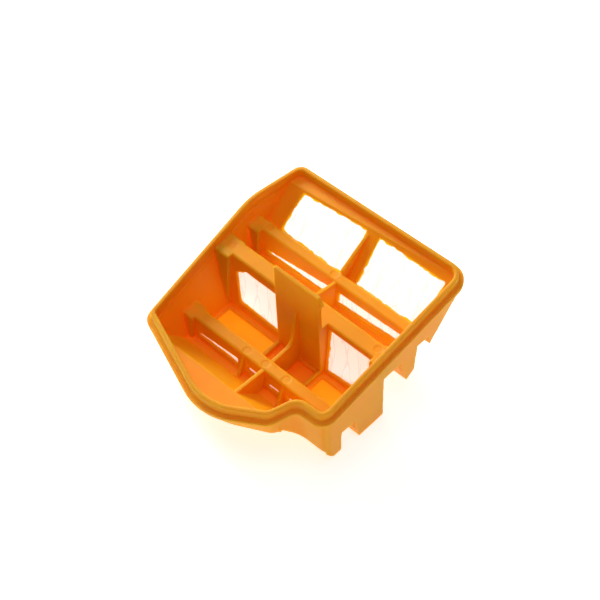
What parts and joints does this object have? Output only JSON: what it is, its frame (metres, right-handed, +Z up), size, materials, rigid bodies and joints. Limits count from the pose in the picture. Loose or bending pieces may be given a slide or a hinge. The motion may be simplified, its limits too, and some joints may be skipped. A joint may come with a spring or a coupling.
{
  "type": "air filter housing",
  "caption": "Open half of a pleated air filter housing: a toothed, ridged tray with a sealing lip round its rim, mesh windows in the pleats and a tall baffle plate.",
  "frame": {"origin": "middle of the underside of the flat foot floor, the deepest pleat", "axes": "+X along the pleats, away from the slanted end wall; +Y across the pleats, from the curved bay to the far slope; +Z up, out of the open side"},
  "size_m": [0.1039, 0.1109, 0.0535],
  "materials": {
    "nylon": "matte, slightly translucent",
    "mesh": "fine woven monofilament"
  },
  "bodies": {
    "root": {"baffle_plate": "nylon", "bay_ramp": "nylon", "bay_shelf": "nylon", "bay_wall": "nylon", "far_slope": "nylon", "foot_bead": "nylon", "foot_floor": "nylon", "foot_rib_left": "nylon", "foot_rib_right": "nylon", "gusset_left": "nylon", "gusset_right": "nylon", "left_end_wall": "nylon", "mesh_a_near_1": "mesh", "mesh_a_near_2": "mesh", "mesh_b_far_1": "mesh", "mesh_b_far_2": "mesh", "mesh_b_near_1": "mesh", "mesh_b_near_2": "mesh", "mesh_c_far_1": "mesh", "mesh_c_far_2": "mesh", "mesh_c_near_1": "mesh", "mesh_c_near_2": "mesh", "mesh_c_near_3": "mesh", "mesh_c_near_4": "mesh", "mesh_slope_1": "mesh", "mesh_slope_2": "mesh", "near_side_wall": "nylon", "ridge_a_far_wall": "nylon", "ridge_a_near_wall": "nylon", "ridge_a_top": "nylon", "ridge_b_far_wall": "nylon", "ridge_b_near_wall": "nylon", "ridge_b_top": "nylon", "ridge_c_far_wall": "nylon", "ridge_c_near_wall": "nylon", "ridge_c_top": "nylon", "right_end_wall": "nylon", "rim_flange": "nylon", "sealing_lip": "nylon", "valley_1_floor": "nylon", "valley_3_floor": "nylon", "web_bay": "nylon", "web_far": "nylon", "web_mid": "nylon", "web_plate": "nylon"}
  },
  "joints": []
}
